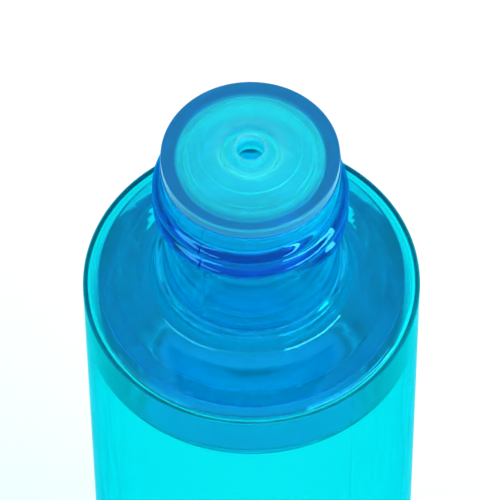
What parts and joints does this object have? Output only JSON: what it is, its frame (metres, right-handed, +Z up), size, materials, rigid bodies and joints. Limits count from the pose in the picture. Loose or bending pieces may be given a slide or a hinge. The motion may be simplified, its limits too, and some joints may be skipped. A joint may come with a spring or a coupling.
{
  "type": "face lotion bottle",
  "caption": "Clear tinted cylindrical bottle with a flat shoulder and a threaded neck, closed by a press-in pouring plug and filled with lotion.",
  "frame": {"origin": "centre of the base, on the surface that the bottle stands on", "axes": "+Z up along the bottle's axis, -Y towards the picture's camera, +X to its right"},
  "size_m": [0.042, 0.042, 0.1564],
  "materials": {
    "tinted_pet": "clear, tinted right through, polished",
    "natural_ldpe": "natural, slightly milky, smooth",
    "lotion": "clear watery liquid"
  },
  "bodies": {
    "root": {"bottle": "tinted_pet", "inner_plug": "natural_ldpe", "lotion": "lotion"}
  },
  "joints": []
}
